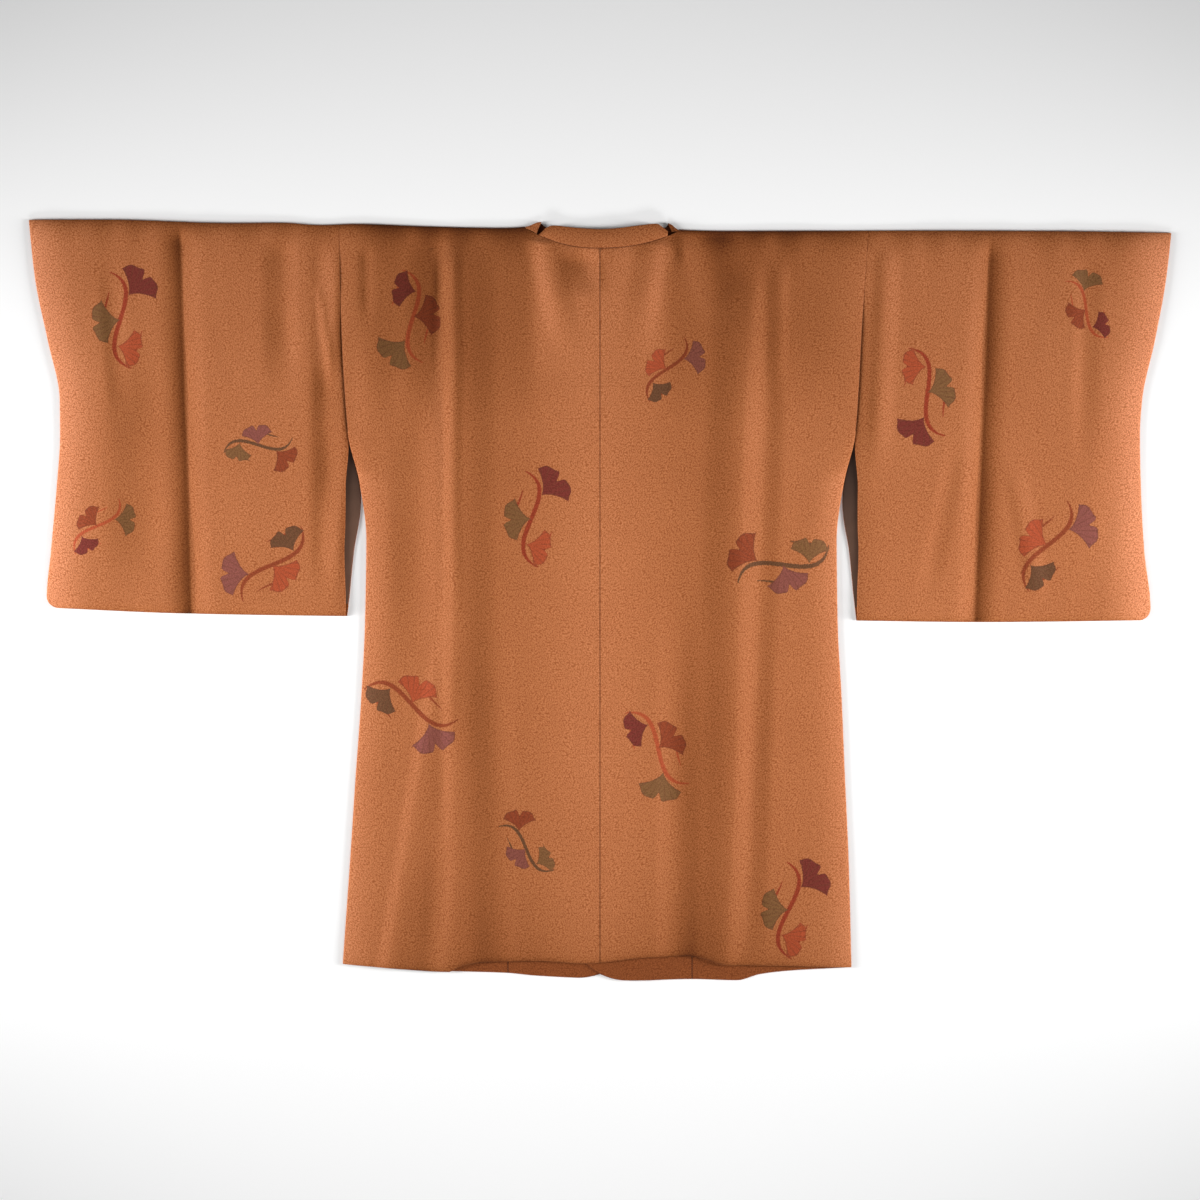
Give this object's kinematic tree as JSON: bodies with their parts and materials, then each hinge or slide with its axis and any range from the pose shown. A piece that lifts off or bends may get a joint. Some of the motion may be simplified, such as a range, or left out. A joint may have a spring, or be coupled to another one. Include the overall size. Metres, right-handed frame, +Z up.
{
  "type": "kimono coat",
  "caption": "Kimono coat laid flat, back upwards: wide open-cuffed sleeves left free below the armholes, overlapping front bands, a square neckline and a narrow collar.",
  "frame": {"origin": "on the surface that the coat lies on, under the middle of its outline", "axes": "+X to the right as one looks down on the back, from sleeve end to sleeve end; +Y from the hems to the shoulders; +Z up through the cloth, out of the back"},
  "size_m": [1.2986, 0.8652, 0.0062],
  "materials": {
    "crepe": "matte crepe with a grain of fine uneven ribs",
    "facing": "matte crepe, its plain side",
    "lining": "smooth lining with a low sheen"
  },
  "bodies": {
    "root": {"body_left": "crepe", "body_right": "crepe", "sleeve_left": "crepe", "sleeve_right": "crepe", "front_band_left": "facing", "front_band_right": "facing", "collar_back": "crepe", "collar_side_left": "crepe", "collar_side_right": "crepe", "collar_foot_left": "crepe", "collar_foot_right": "crepe", "sleeve_lining_left": "lining", "sleeve_lining_right": "lining"}
  },
  "joints": []
}
